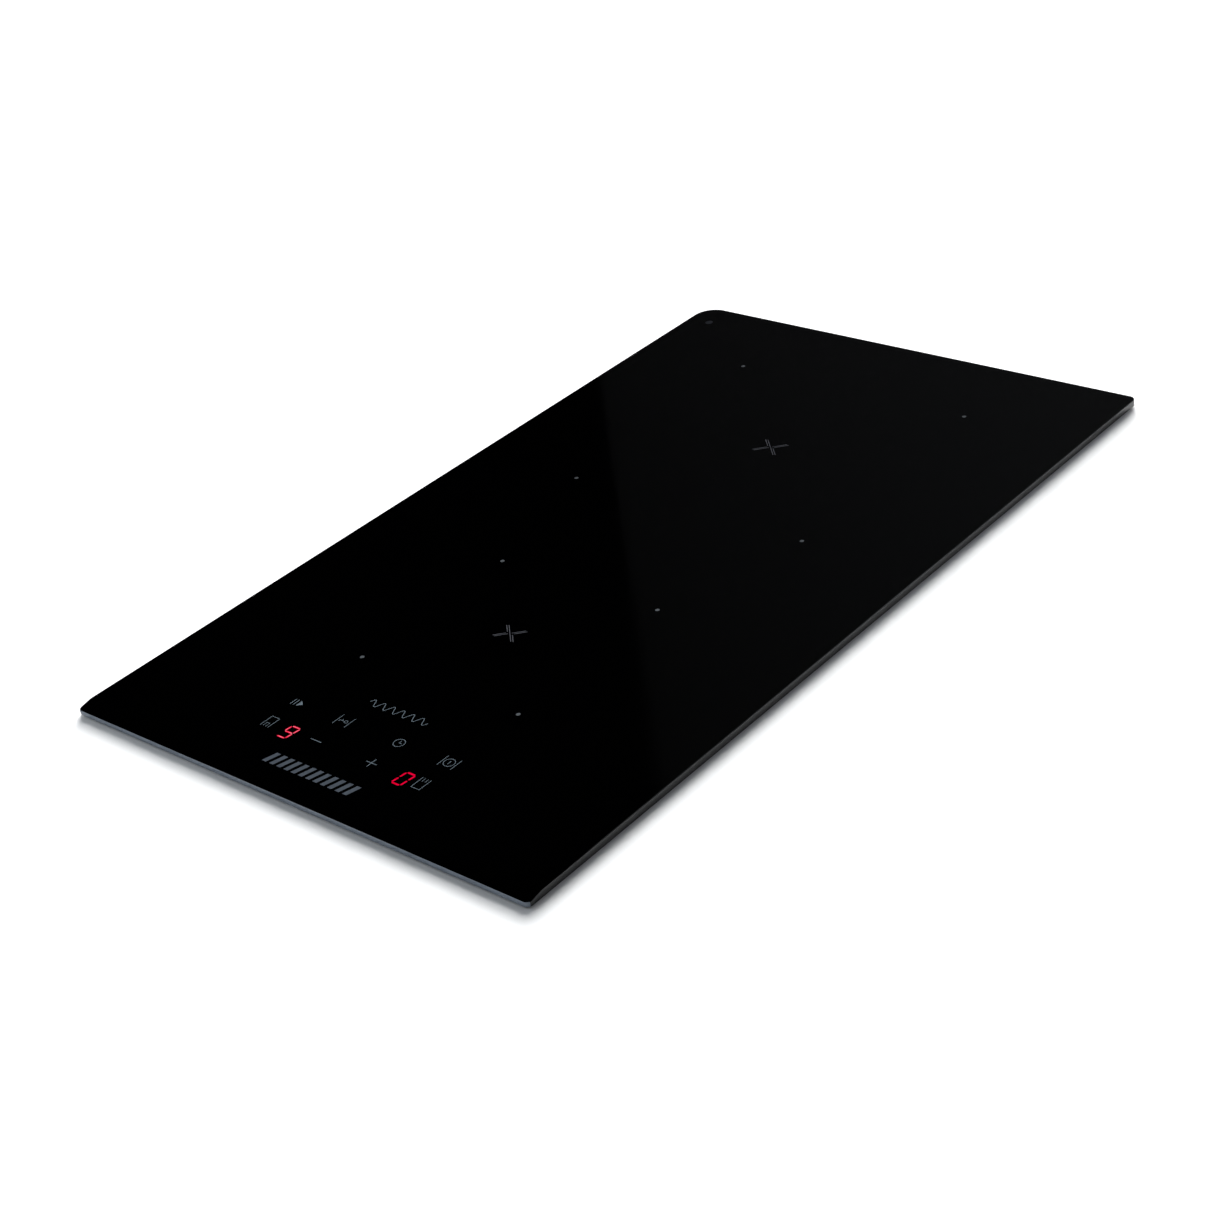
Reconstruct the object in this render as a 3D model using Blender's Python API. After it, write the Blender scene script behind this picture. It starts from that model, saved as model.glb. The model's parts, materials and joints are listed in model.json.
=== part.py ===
"""Two-zone built-in induction cooktop, modelled as separate pieces in metres.

X runs left to right, -Y is the user's side, +Z is up. The origin is at the middle of the casing's underside.
"""

import math

import bmesh
import bpy
from mathutils import Matrix, Vector

GAP = 0.0003  # clearance between pieces that touch on the real object

# Glass top
GLASS_WIDTH = 0.300
GLASS_DEPTH = 0.510
GLASS_THICKNESS = 0.004
GLASS_CORNERS = (0.004, 0.013, 0.003, 0.003)  # back right, back left, front left, front right
GLASS_BEVEL = 0.0006
FACET_WIDTH = 0.009  # the front strip of the glass is ground to a shallow slope
FACET_DROP = 0.0017
TOTAL_HEIGHT = 0.058
GLASS_UNDER = TOTAL_HEIGHT - GLASS_THICKNESS
FACET_Y = FACET_WIDTH - GLASS_DEPTH / 2

# Foam seal under the glass edge, and the silicone that bonds the glass to the casing
SEAL_INSET = 0.002
SEAL_WIDTH = 0.006
SEAL_INNER_CORNERS = (0.001, 0.005, 0.001, 0.001)
BOND_INSET = 0.0015
BOND_INNER_CORNER = 0.004

# Casing tray
TRAY_WIDTH = 0.266
TRAY_DEPTH = 0.486
TRAY_HEIGHT = 0.052
TRAY_CORNER = 0.010
SHEET = 0.001
FLANGE = 0.007
TRAY_FLOOR = SHEET
WALL_Y = TRAY_DEPTH / 2
VENT_PITCH = 0.010
VENT_Y = (-0.232, -0.202)
INTAKE_PITCH = 0.0075
SLOT_HALF = 0.0022
THROUGH = 0.005  # how far a cutter reaches past the sheet that it cuts

# Cooking zones: centre along Y, winding radii
REAR_ZONE_Y = 0.120
FRONT_ZONE_Y = -0.0975
REAR_COIL = 0.096
FRONT_COIL = 0.066
COIL_HOLE = 0.024
REAR_BARS = 6
FRONT_BARS = 4
BAR_HALF = 0.0075
REAR_LEAD_X = 0.108
FRONT_LEAD_X = 0.078
LEAD_RADIUS = 0.0014

# Levels of the coil stack, bottom to top
PLATE_TOP = 0.0402
PLATE_THICKNESS = 0.0012
BAR_HEIGHT = 0.004
FORMER_LOW = PLATE_TOP + BAR_HEIGHT + 2 * GAP
FORMER_HEIGHT = 0.0015
FORMER_RIM = 0.0015
RIM_RISE = 0.002
RIM_REACH = 0.004
WINDING_LOW = FORMER_LOW + FORMER_HEIGHT + GAP
WINDING_HEIGHT = 0.0042
MICA_LOW = WINDING_LOW + WINDING_HEIGHT + GAP
MICA_HEIGHT = 0.0006

# Coil plate
PLATE_WIDTH = 0.244
PLATE_FRONT = -0.172
PLATE_BACK = 0.232
LEG_WIDTH = 0.016
LEG_Y = (-0.102, 0.097)
FOOT_REACH = 0.010
SENSOR_HOLE = 0.010
LEAD_HOLE = 0.005

# Temperature sensors, which are pushed up against the glass by their own springs
SENSOR_RADIUS = 0.006
SENSOR_STEM = 0.004
SENSOR_BORE = 0.0012

# Controls
KEY_X = (0.051, 0.0185)
KEY_Y_BACK = -0.196
KEY_Y_FRONT = -0.215
READOUT_X = 0.0375
CARRIER_LOW = 0.038
CARRIER_HIGH = 0.0505
CONTROL_BOARD_LOW = 0.0415
CARRIER_HALF_X = 0.074
CARRIER_HALF_Y = 0.024
CARRIER_WALL = 0.0015
CARRIER_POST_X = 0.066
READOUT_HALF = 0.005
BOARD = 0.0016

# Power electronics
POWER_BOARD_LOW = 0.005
BOARD_TOP = POWER_BOARD_LOW + BOARD
PART_LOW = BOARD_TOP + GAP
POWER_BOARD_X = (-0.100, 0.108)
POWER_BOARD_Y = (-0.130, 0.112)
BOARD_POST_X = (-0.092, 0.099)
BOARD_POST_Y = (-0.122, 0.104)
POST_RADIUS = 0.004
SINK_X = (-0.096, -0.036)
SINK_Y = (-0.040, 0.100)
SINK_HEIGHT = 0.026
SINK_BASE = 0.004
FIN_PITCH = 0.0074
FIN = 0.0016
SEMICONDUCTOR_X = (-0.0357, -0.0307)
CHOKE_PLACE = (0.070, -0.020, 0.0)
CHOKE_INNER = 0.008
CHOKE_OUTER = 0.019
CHOKE_HEIGHT = 0.018

# Fan
FAN_X = -0.060
FAN_Y = 0.166
FAN_SIDE = 0.086
FAN_BORE = 0.034
FAN_INTAKE = 0.026
FAN_LOW = TRAY_FLOOR + GAP
FAN_HIGH = 0.024
FAN_WALL = 0.002
FAN_SHAFT = 0.0015
FAN_HUB = 0.011
BLADES = 13
BLADE_SIZE = (0.009, 0.0012)
BLADE_RADIUS = 0.0265
BLADE_LEAN = 35

# Worktop clamps: one in each of four pockets in the casing's sides
POCKET_Y = (-0.150, 0.150)
POCKET_HALF = 0.027
POCKET_HIGH = 0.010
POCKET_INNER = 0.110
CLAMP_X = 0.1195
CLAMP_OFFSET = 0.018
CLAMP_REACH = 0.038
CLAMP_HALF = 0.006
CLAMP_LOW = 0.004
CLAMP_SHEET = 0.002
SCREW_RADIUS = 0.0019
SCREW_HOLE = 0.0022
SCREW_HEAD = 0.0040

# Mains connection in the rear wall
WINDOW_X = (0.036, 0.104)
WINDOW_Z = (0.010, 0.034)
COVER_HINGE_Z = 0.0045
COVER_HINGE_Y = WALL_Y + 0.0030
PIVOT_RADIUS = 0.0012
BARREL_RADIUS = 0.0020
EAR_OFFSET = 0.0075
EAR_HALF = 0.0012
WELLS = 5
WELL_PITCH = 0.011
INLET_X = 0.010
INLET_Z = 0.020
INLET_HOLE = 0.009
INLET_BORE = 0.0055


def clear_scene():
    for old in list(bpy.data.objects):
        bpy.data.objects.remove(old, do_unlink=True)


def material(name, colour, roughness, metallic=0.0):
    made = bpy.data.materials.new(name)
    made.use_nodes = True
    shader = made.node_tree.nodes["Principled BSDF"]
    shader.inputs["Base Color"].default_value = (*colour, 1.0)
    shader.inputs["Roughness"].default_value = roughness
    shader.inputs["Metallic"].default_value = metallic
    made.diffuse_color = (*colour, 1.0)
    return made


def rounded_outline(width, depth, radii, steps=6):
    """Points of a rounded rectangle about the origin, anticlockwise from its +X side, as the radii are."""
    points = []
    corners = ((1, 1), (-1, 1), (-1, -1), (1, -1))
    for quarter, ((side_x, side_y), radius) in enumerate(zip(corners, radii)):
        centre = Vector((side_x * (width / 2 - radius), side_y * (depth / 2 - radius)))
        for step in range(steps + 1):
            angle = math.pi / 2 * (quarter + step / steps)
            points.append(centre + radius * Vector((math.cos(angle), math.sin(angle))))
    return points


def circle(radius, steps=48):
    return [
        Vector((radius * math.cos(math.tau * i / steps), radius * math.sin(math.tau * i / steps)))
        for i in range(steps)
    ]


def finish(name, build, colour, smooth=False):
    """Makes one named object from a bmesh, with its faces turned outward."""
    bmesh.ops.recalc_face_normals(build, faces=build.faces)
    mesh = bpy.data.meshes.new(name)
    build.to_mesh(mesh)
    build.free()
    if smooth:
        mesh.shade_smooth()
        mesh.set_sharp_from_angle(angle=math.radians(35))
    made = bpy.data.objects.new(name, mesh)
    bpy.context.scene.collection.objects.link(made)
    if colour:
        mesh.materials.append(colour)
    return made


def skin(build, rings, closed=False):
    """Joins rings of equal point counts with faces, and returns their vertices."""
    loops = [[build.verts.new(point) for point in ring] for ring in rings]
    pairs = list(zip(loops, loops[1:]))
    if closed:
        pairs.append((loops[-1], loops[0]))
    for low, high in pairs:
        count = len(low)
        for i in range(count):
            j = (i + 1) % count
            build.faces.new((low[i], low[j], high[j], high[i]))
    return loops


def loft(name, rings, colour, closed=False, smooth=False):
    """A solid through rings of equal point counts. Its end rings are capped, or joined when closed."""
    build = bmesh.new()
    loops = skin(build, rings, closed)
    if not closed:
        build.faces.new(list(reversed(loops[0])))
        build.faces.new(loops[-1])
    return finish(name, build, colour, smooth)


def level(outline, height):
    return [Vector((point[0], point[1], height)) for point in outline]


def prism(name, outline, low, high, colour, smooth=False):
    return loft(name, [level(outline, low), level(outline, high)], colour, smooth=smooth)


def frame(name, outer, inner, low, high, colour):
    """A flat frame between two outlines with equal point counts."""
    rings = [level(outer, low), level(outer, high), level(inner, high), level(inner, low)]
    return loft(name, rings, colour, closed=True)


def block(name, low, high, colour):
    x, y = low[:2], high[:2]
    outline = [(x[0], x[1]), (y[0], x[1]), (y[0], y[1]), (x[0], y[1])]
    return prism(name, outline, low[2], high[2], colour)


def turned(name, profile, colour, steps=32):
    """A ring about Z from a closed profile of (radius, height) points that stays off the axis."""
    rings = [level(circle(radius, steps), height) for radius, height in profile]
    return loft(name, rings, colour, closed=True, smooth=True)


def disc(name, radius, low, high, colour, steps=32):
    return prism(name, circle(radius, steps), low, high, colour, smooth=True)


def extruded_side(name, outline, low, high, colour):
    """A solid with a (y, z) outline, extruded along X."""
    rings = [[Vector((x, y, z)) for y, z in outline] for x in (low, high)]
    return loft(name, rings, colour)


def tube(name, route, radius, colour):
    """A round wire along a smooth curve through the route's points."""
    curve = bpy.data.curves.new(name, "CURVE")
    curve.dimensions = "3D"
    curve.bevel_depth = radius
    curve.bevel_resolution = 2
    curve.use_fill_caps = True
    points = smooth_route([Vector(point) for point in route])
    spline = curve.splines.new("POLY")
    spline.points.add(len(points) - 1)
    for target, point in zip(spline.points, points):
        target.co = (*point, 1.0)
    curve.materials.append(colour)
    made = bpy.data.objects.new(name, curve)
    bpy.context.scene.collection.objects.link(made)
    return made


def smooth_route(route, steps=4):
    """Points of a Catmull-Rom curve through the route."""
    ends = [2 * route[0] - route[1]] + route + [2 * route[-1] - route[-2]]
    points = []
    for a, b, c, d in zip(ends, ends[1:], ends[2:], ends[3:]):
        for step in range(steps):
            t = step / steps
            points.append(
                0.5 * ((2 * b) + (c - a) * t + (2 * a - 5 * b + 4 * c - d) * t**2
                       + (3 * b - a - 3 * c + d) * t**3)
            )
    return points + [route[-1]]


def boolean(target, other, operation):
    """Cuts or joins another object, which is kept as a hidden helper."""
    other.hide_render = True
    other.display_type = "WIRE"
    modifier = target.modifiers.new(f"{operation.lower()}_{other.name}", "BOOLEAN")
    modifier.operation = operation
    modifier.solver = "EXACT"
    modifier.object = other


def helper_blocks(name, boxes):
    """Separate boxes in one mesh, used as one cutter or as one set of additions."""
    build = bmesh.new()
    for low, high in boxes:
        low, high = Vector(low), Vector(high)
        middle = Matrix.Translation((low + high) / 2)
        bmesh.ops.create_cube(build, size=1.0, matrix=middle @ Matrix.Diagonal((*(high - low), 1.0)))
    return finish(name, build, None)


def helper_discs(name, places, low, high, steps=16):
    """Separate upright cylinders in one mesh, from (x, y, radius) triples."""
    build = bmesh.new()
    for x, y, radius in places:
        bmesh.ops.create_cone(
            build, cap_ends=True, segments=steps, radius1=radius, radius2=radius, depth=high - low,
            matrix=Matrix.Translation((x, y, (low + high) / 2)),
        )
    return finish(name, build, None)


def along_y(made):
    """Turns a piece made about Z so that its axis lies along +Y."""
    made.rotation_euler = (-math.pi / 2, 0.0, 0.0)


def glass_outline(inset):
    """The glass outline moved inward, with a point on each side where the facet begins."""
    width, depth = GLASS_WIDTH - 2 * inset, GLASS_DEPTH - 2 * inset
    points = rounded_outline(width, depth, [radius - inset for radius in GLASS_CORNERS])
    before_front = len(points) // 2
    left, right = Vector((-width / 2, FACET_Y)), Vector((width / 2, FACET_Y))
    return points[:before_front] + [left] + points[before_front:] + [right]


def glass_top(look):
    def ring(inset, height):
        slope = FACET_DROP / FACET_WIDTH
        return [(x, y, height - slope * max(0.0, FACET_Y - y)) for x, y in glass_outline(inset)]

    under = GLASS_BEVEL / 3
    rings = [
        level(glass_outline(under), GLASS_UNDER),
        level(glass_outline(0.0), GLASS_UNDER + under),
        ring(0.0, TOTAL_HEIGHT - GLASS_BEVEL),
        ring(GLASS_BEVEL, TOTAL_HEIGHT),
    ]
    build = bmesh.new()
    loops = skin(build, rings)
    build.faces.new(list(reversed(loops[0])))
    facet_start = len(loops[-1]) // 2 - 1
    build.faces.new(loops[-1][: facet_start + 1] + [loops[-1][-1]])
    build.faces.new(loops[-1][facet_start:])
    finish("glass_top", build, look)


def glass_bond(look):
    def outline(inset, radius):
        return rounded_outline(TRAY_WIDTH - 2 * inset, TRAY_DEPTH - 2 * inset, [radius] * 4)

    outer = outline(BOND_INSET, TRAY_CORNER - BOND_INSET)
    inner = outline(FLANGE - BOND_INSET, BOND_INNER_CORNER)
    frame("glass_bond", outer, inner, TRAY_HEIGHT + GAP, GLASS_UNDER - GAP, look)


def worktop_seal(look):
    def outline(inset, radii):
        return rounded_outline(GLASS_WIDTH - 2 * inset, GLASS_DEPTH - 2 * inset, radii)

    outer = outline(SEAL_INSET, [radius - SEAL_INSET for radius in GLASS_CORNERS])
    inner = outline(SEAL_INSET + SEAL_WIDTH, SEAL_INNER_CORNERS)
    frame("worktop_seal", outer, inner, TRAY_HEIGHT + GAP, GLASS_UNDER - GAP, look)


def clamp_places():
    """Side, pocket centre and pivot position of each worktop clamp."""
    places = []
    for side in (-1, 1):
        for y in POCKET_Y:
            places.append((side, y, (side * CLAMP_X, y - CLAMP_OFFSET)))
    return places


def tray_slots():
    """Boxes of the fan's intake slots, the front air slots and the terminal window."""
    slots = []
    for i in range(-3, 4):
        x = FAN_X + i * INTAKE_PITCH
        half = math.sqrt(FAN_INTAKE**2 - (i * INTAKE_PITCH) ** 2)
        slots.append(((x - SLOT_HALF, FAN_Y - half, -THROUGH), (x + SLOT_HALF, FAN_Y + half, THROUGH)))
    for i in range(-5, 6):
        x = i * VENT_PITCH
        slots.append(((x - SLOT_HALF, VENT_Y[0], -THROUGH), (x + SLOT_HALF, VENT_Y[1], THROUGH)))
    (left, right), (low, high) = WINDOW_X, WINDOW_Z
    slots.append(((left, WALL_Y - THROUGH, low), (right, WALL_Y + THROUGH, high)))
    return slots


def casing_tray(look):
    def outline(inset):
        return rounded_outline(
            TRAY_WIDTH - 2 * inset, TRAY_DEPTH - 2 * inset, [TRAY_CORNER - inset] * 4, steps=4
        )

    rings = [
        level(outline(0.0), 0.0),
        level(outline(0.0), TRAY_HEIGHT),
        level(outline(FLANGE), TRAY_HEIGHT),
        level(outline(FLANGE), TRAY_HEIGHT - SHEET),
        level(outline(SHEET), TRAY_HEIGHT - SHEET),
        level(outline(SHEET), TRAY_FLOOR),
    ]
    tray = loft("casing_tray", rings, look)

    edge = TRAY_WIDTH / 2
    roofs, hollows = [], []
    for side, y, _ in clamp_places():
        ends = sorted((side * (POCKET_INNER - SHEET), side * (edge - SHEET / 2)))
        roofs.append(((ends[0], y - POCKET_HALF - SHEET, SHEET / 2),
                      (ends[1], y + POCKET_HALF + SHEET, POCKET_HIGH + SHEET)))
        ends = sorted((side * POCKET_INNER, side * (edge + THROUGH)))
        hollows.append(((ends[0], y - POCKET_HALF, -THROUGH), (ends[1], y + POCKET_HALF, POCKET_HIGH)))
    boolean(tray, helper_blocks("tray_pocket_roofs", roofs), "UNION")

    ears = [((x - EAR_HALF, WALL_Y - SHEET / 2, COVER_HINGE_Z - 0.003),
             (x + EAR_HALF, COVER_HINGE_Y + 0.0025, COVER_HINGE_Z + 0.003))
            for x in (WINDOW_X[0] - EAR_OFFSET, WINDOW_X[1] + EAR_OFFSET)]
    boolean(tray, helper_blocks("tray_hinge_ears", ears), "UNION")
    boolean(tray, helper_blocks("tray_pockets", hollows), "DIFFERENCE")

    screws = [(x, y, SCREW_HOLE) for _, _, (x, y) in clamp_places()]
    holes = helper_discs("tray_clamp_holes", screws, POCKET_HIGH - 0.002, POCKET_HIGH + 0.003)
    boolean(tray, holes, "DIFFERENCE")
    boolean(tray, helper_blocks("tray_slots", tray_slots()), "DIFFERENCE")

    inlet = disc("tray_inlet_hole", INLET_HOLE, -0.006, 0.006, None, steps=24)
    along_y(inlet)
    inlet.location = (INLET_X, WALL_Y, INLET_Z)
    boolean(tray, inlet, "DIFFERENCE")

    pivots = disc("tray_pivot_holes", PIVOT_RADIUS + GAP, -0.06, 0.06, None, steps=12)
    pivots.rotation_euler = (0.0, math.pi / 2, 0.0)
    pivots.location = (sum(WINDOW_X) / 2, COVER_HINGE_Y, COVER_HINGE_Z)
    boolean(tray, pivots, "DIFFERENCE")


def coil_plate(look):
    """The aluminium plate that carries both coils, on four folded legs with feet."""
    plate = block(
        "coil_plate",
        (-PLATE_WIDTH / 2, PLATE_FRONT, PLATE_TOP - PLATE_THICKNESS),
        (PLATE_WIDTH / 2, PLATE_BACK, PLATE_TOP), look,
    )
    legs = []
    for side in (-1, 1):
        for y in LEG_Y:
            out = side * PLATE_WIDTH / 2
            inner = side * (PLATE_WIDTH / 2 - PLATE_THICKNESS)
            foot = side * (PLATE_WIDTH / 2 - FOOT_REACH)
            legs.append(((min(out, inner), y - LEG_WIDTH / 2, TRAY_FLOOR + GAP),
                         (max(out, inner), y + LEG_WIDTH / 2, PLATE_TOP - PLATE_THICKNESS / 2)))
            legs.append(((min(out, foot), y - LEG_WIDTH / 2 + 0.001, TRAY_FLOOR + GAP),
                         (max(out, foot), y + LEG_WIDTH / 2 - 0.001, TRAY_FLOOR + GAP + PLATE_THICKNESS)))
    boolean(plate, helper_union("plate_legs", legs), "UNION")
    holes = [(0.0, REAR_ZONE_Y, SENSOR_HOLE), (0.0, FRONT_ZONE_Y, SENSOR_HOLE),
             (REAR_LEAD_X, REAR_ZONE_Y, LEAD_HOLE), (FRONT_LEAD_X, FRONT_ZONE_Y, LEAD_HOLE)]
    boolean(plate, helper_discs("plate_holes", holes, PLATE_TOP - 0.004, PLATE_TOP + 0.004), "DIFFERENCE")


def helper_union(name, boxes):
    """Boxes joined into one closed shape, so that they can overlap each other."""
    first = helper_blocks(name, boxes[0::2])
    second = helper_blocks(name + "_more", boxes[1::2])
    boolean(first, second, "UNION")
    return first


def coil_unit(zone, centre_y, radius, bars, looks):
    """One coil: former, winding and mica sheet, with ferrite bars under the former."""
    rim, rim_top, base = radius + RIM_REACH, WINDING_LOW + RIM_RISE, FORMER_LOW + FORMER_HEIGHT
    hole = COIL_HOLE - SENSOR_HOLE
    former = turned(
        f"{zone}_coil_former",
        [(hole, FORMER_LOW), (rim, FORMER_LOW), (rim, rim_top), (rim - FORMER_RIM, rim_top),
         (rim - FORMER_RIM, base), (COIL_HOLE - FORMER_RIM, base), (COIL_HOLE - FORMER_RIM, rim_top),
         (COIL_HOLE - 2 * FORMER_RIM, rim_top), (COIL_HOLE - 2 * FORMER_RIM, base), (hole, base)],
        looks["former"], steps=40,
    )
    winding = turned(
        f"{zone}_coil_winding",
        [(COIL_HOLE, WINDING_LOW), (radius, WINDING_LOW),
         (radius, WINDING_LOW + WINDING_HEIGHT), (COIL_HOLE, WINDING_LOW + WINDING_HEIGHT)],
        looks["copper"], steps=40,
    )
    mica = turned(
        f"{zone}_mica_sheet",
        [(SENSOR_HOLE, MICA_LOW), (rim, MICA_LOW),
         (rim, MICA_LOW + MICA_HEIGHT), (SENSOR_HOLE, MICA_LOW + MICA_HEIGHT)],
        looks["mica"], steps=40,
    )
    for made in (former, winding, mica):
        made.location = (0.0, centre_y, 0.0)

    for i in range(bars):
        angle = math.tau * (i + 0.5) / bars
        bar = block(
            f"{zone}_ferrite_bar_{i + 1}",
            (COIL_HOLE + 0.001, -BAR_HALF, PLATE_TOP + GAP),
            (radius - 0.002, BAR_HALF, PLATE_TOP + GAP + BAR_HEIGHT), looks["ferrite"],
        )
        bar.location = (0.0, centre_y, 0.0)
        bar.rotation_euler = (0.0, 0.0, angle)

    foot, top = PLATE_TOP - 0.006, GLASS_UNDER - GAP
    sensor = turned(
        f"{zone}_temperature_sensor",
        [(SENSOR_BORE, foot), (SENSOR_STEM, foot), (SENSOR_STEM, top - 0.0035),
         (SENSOR_RADIUS, top - 0.0015), (SENSOR_RADIUS, top), (SENSOR_BORE, top)],
        looks["sensor"], steps=20,
    )
    sensor.location = (0.0, centre_y, 0.0)


def power_electronics(looks):
    board = block(
        "power_board", (POWER_BOARD_X[0], POWER_BOARD_Y[0], POWER_BOARD_LOW),
        (POWER_BOARD_X[1], POWER_BOARD_Y[1], BOARD_TOP), looks["board"],
    )
    corners = [(x, y, POST_RADIUS) for x in BOARD_POST_X for y in BOARD_POST_Y]
    posts = helper_discs("board_posts", corners, TRAY_FLOOR + GAP, POWER_BOARD_LOW + BOARD / 2)
    boolean(board, posts, "UNION")

    heat_sink(looks["aluminium"])
    back, face = SEMICONDUCTOR_X
    packages = {
        "rear_power_transistor": (0.062, 0.078, 0.021), "front_power_transistor": (-0.018, -0.002, 0.021),
        "bridge_rectifier": (0.022, 0.048, 0.018),
    }
    for name, (y0, y1, height) in packages.items():
        block(name, (back, y0, PART_LOW), (face, y1, PART_LOW + height), looks["black"])
    boxes = {
        "rear_resonant_capacitor": ((0.052, 0.060), (0.094, 0.080), 0.026, "capacitor"),
        "front_resonant_capacitor": ((0.052, 0.030), (0.094, 0.050), 0.026, "capacitor"),
        "link_capacitor": ((0.000, 0.034), (0.036, 0.054), 0.024, "capacitor"),
    }
    for name, ((x0, y0), (x1, y1), height, look) in boxes.items():
        block(name, (x0, y0, PART_LOW), (x1, y1, PART_LOW + height), looks[look])
    choke = turned(
        "mains_choke",
        [(CHOKE_INNER, PART_LOW), (CHOKE_OUTER, PART_LOW),
         (CHOKE_OUTER, PART_LOW + CHOKE_HEIGHT), (CHOKE_INNER, PART_LOW + CHOKE_HEIGHT)],
        looks["copper"], steps=24,
    )
    choke.location = CHOKE_PLACE


def heat_sink(look):
    """An extrusion with upright fins that run along the air stream."""
    low, high = SINK_X
    base, floor, top = PART_LOW, PART_LOW + SINK_BASE, PART_LOW + SINK_HEIGHT
    wall = high - 2 * FIN
    outline = [(low, base), (high, base), (high, top), (wall, top), (wall, floor)]
    for i in range(int((high - low) / FIN_PITCH) - 1):
        right = wall - (i + 1) * FIN_PITCH + FIN
        outline += [(right, floor), (right, top), (right - FIN, top), (right - FIN, floor)]
    outline += [(low, floor)]
    rings = [[Vector((x, y, z)) for x, z in outline] for y in SINK_Y]
    loft("heat_sink", rings, look)


def fan(looks):
    """A centrifugal fan: an open-topped square housing with a side outlet, and the impeller in it."""
    half = FAN_SIDE / 2
    housing = block(
        "fan_housing", (FAN_X - half, FAN_Y - half, FAN_LOW), (FAN_X + half, FAN_Y + half, FAN_HIGH),
        looks["black"],
    )
    bore = helper_discs(
        "fan_chamber", [(FAN_X, FAN_Y, FAN_BORE + 0.004)], FAN_LOW + FAN_WALL, FAN_HIGH - FAN_WALL, steps=40
    )
    intake = helper_discs("fan_intake", [(FAN_X, FAN_Y, FAN_INTAKE)], -THROUGH, FAN_LOW + 0.004, steps=32)
    outlet = helper_blocks(
        "fan_outlet",
        [((FAN_X - FAN_BORE, FAN_Y - half - THROUGH, FAN_LOW + FAN_WALL),
          (FAN_X + FAN_BORE - 0.006, FAN_Y, FAN_HIGH - FAN_WALL))],
    )
    for cutter in (bore, intake, outlet):
        boolean(housing, cutter, "DIFFERENCE")
    shaft = helper_discs(
        "fan_shaft", [(FAN_X, FAN_Y, FAN_SHAFT)], FAN_LOW + FAN_WALL + 0.001, FAN_HIGH - FAN_WALL / 2
    )
    boolean(housing, shaft, "UNION")

    bottom, top = FAN_LOW + FAN_WALL + 0.001, FAN_HIGH - FAN_WALL - 0.001
    bore_radius, rim_radius, disc_low = FAN_SHAFT + GAP, FAN_BORE - 0.002, top - 0.0016
    impeller = turned(
        "fan_impeller",
        [(bore_radius, bottom + 0.001), (FAN_HUB, bottom + 0.001), (FAN_HUB, disc_low),
         (rim_radius, disc_low), (rim_radius, top), (bore_radius, top)],
        looks["fan"],
    )
    impeller.location = (FAN_X, FAN_Y, 0.0)
    blade_top = (disc_low + top) / 2
    build = bmesh.new()
    for i in range(BLADES):
        turn = Matrix.Rotation(math.tau * i / BLADES, 4, "Z")
        lean = Matrix.Rotation(math.radians(BLADE_LEAN), 4, "Z")
        place = Matrix.Translation((BLADE_RADIUS, 0.0, (bottom + blade_top) / 2))
        size = Matrix.Diagonal((*BLADE_SIZE, blade_top - bottom, 1.0))
        bmesh.ops.create_cube(build, size=1.0, matrix=turn @ place @ lean @ size)
    blades = finish("fan_blades", build, None)
    blades.location = (FAN_X, FAN_Y, 0.0)
    boolean(impeller, blades, "UNION")


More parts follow.
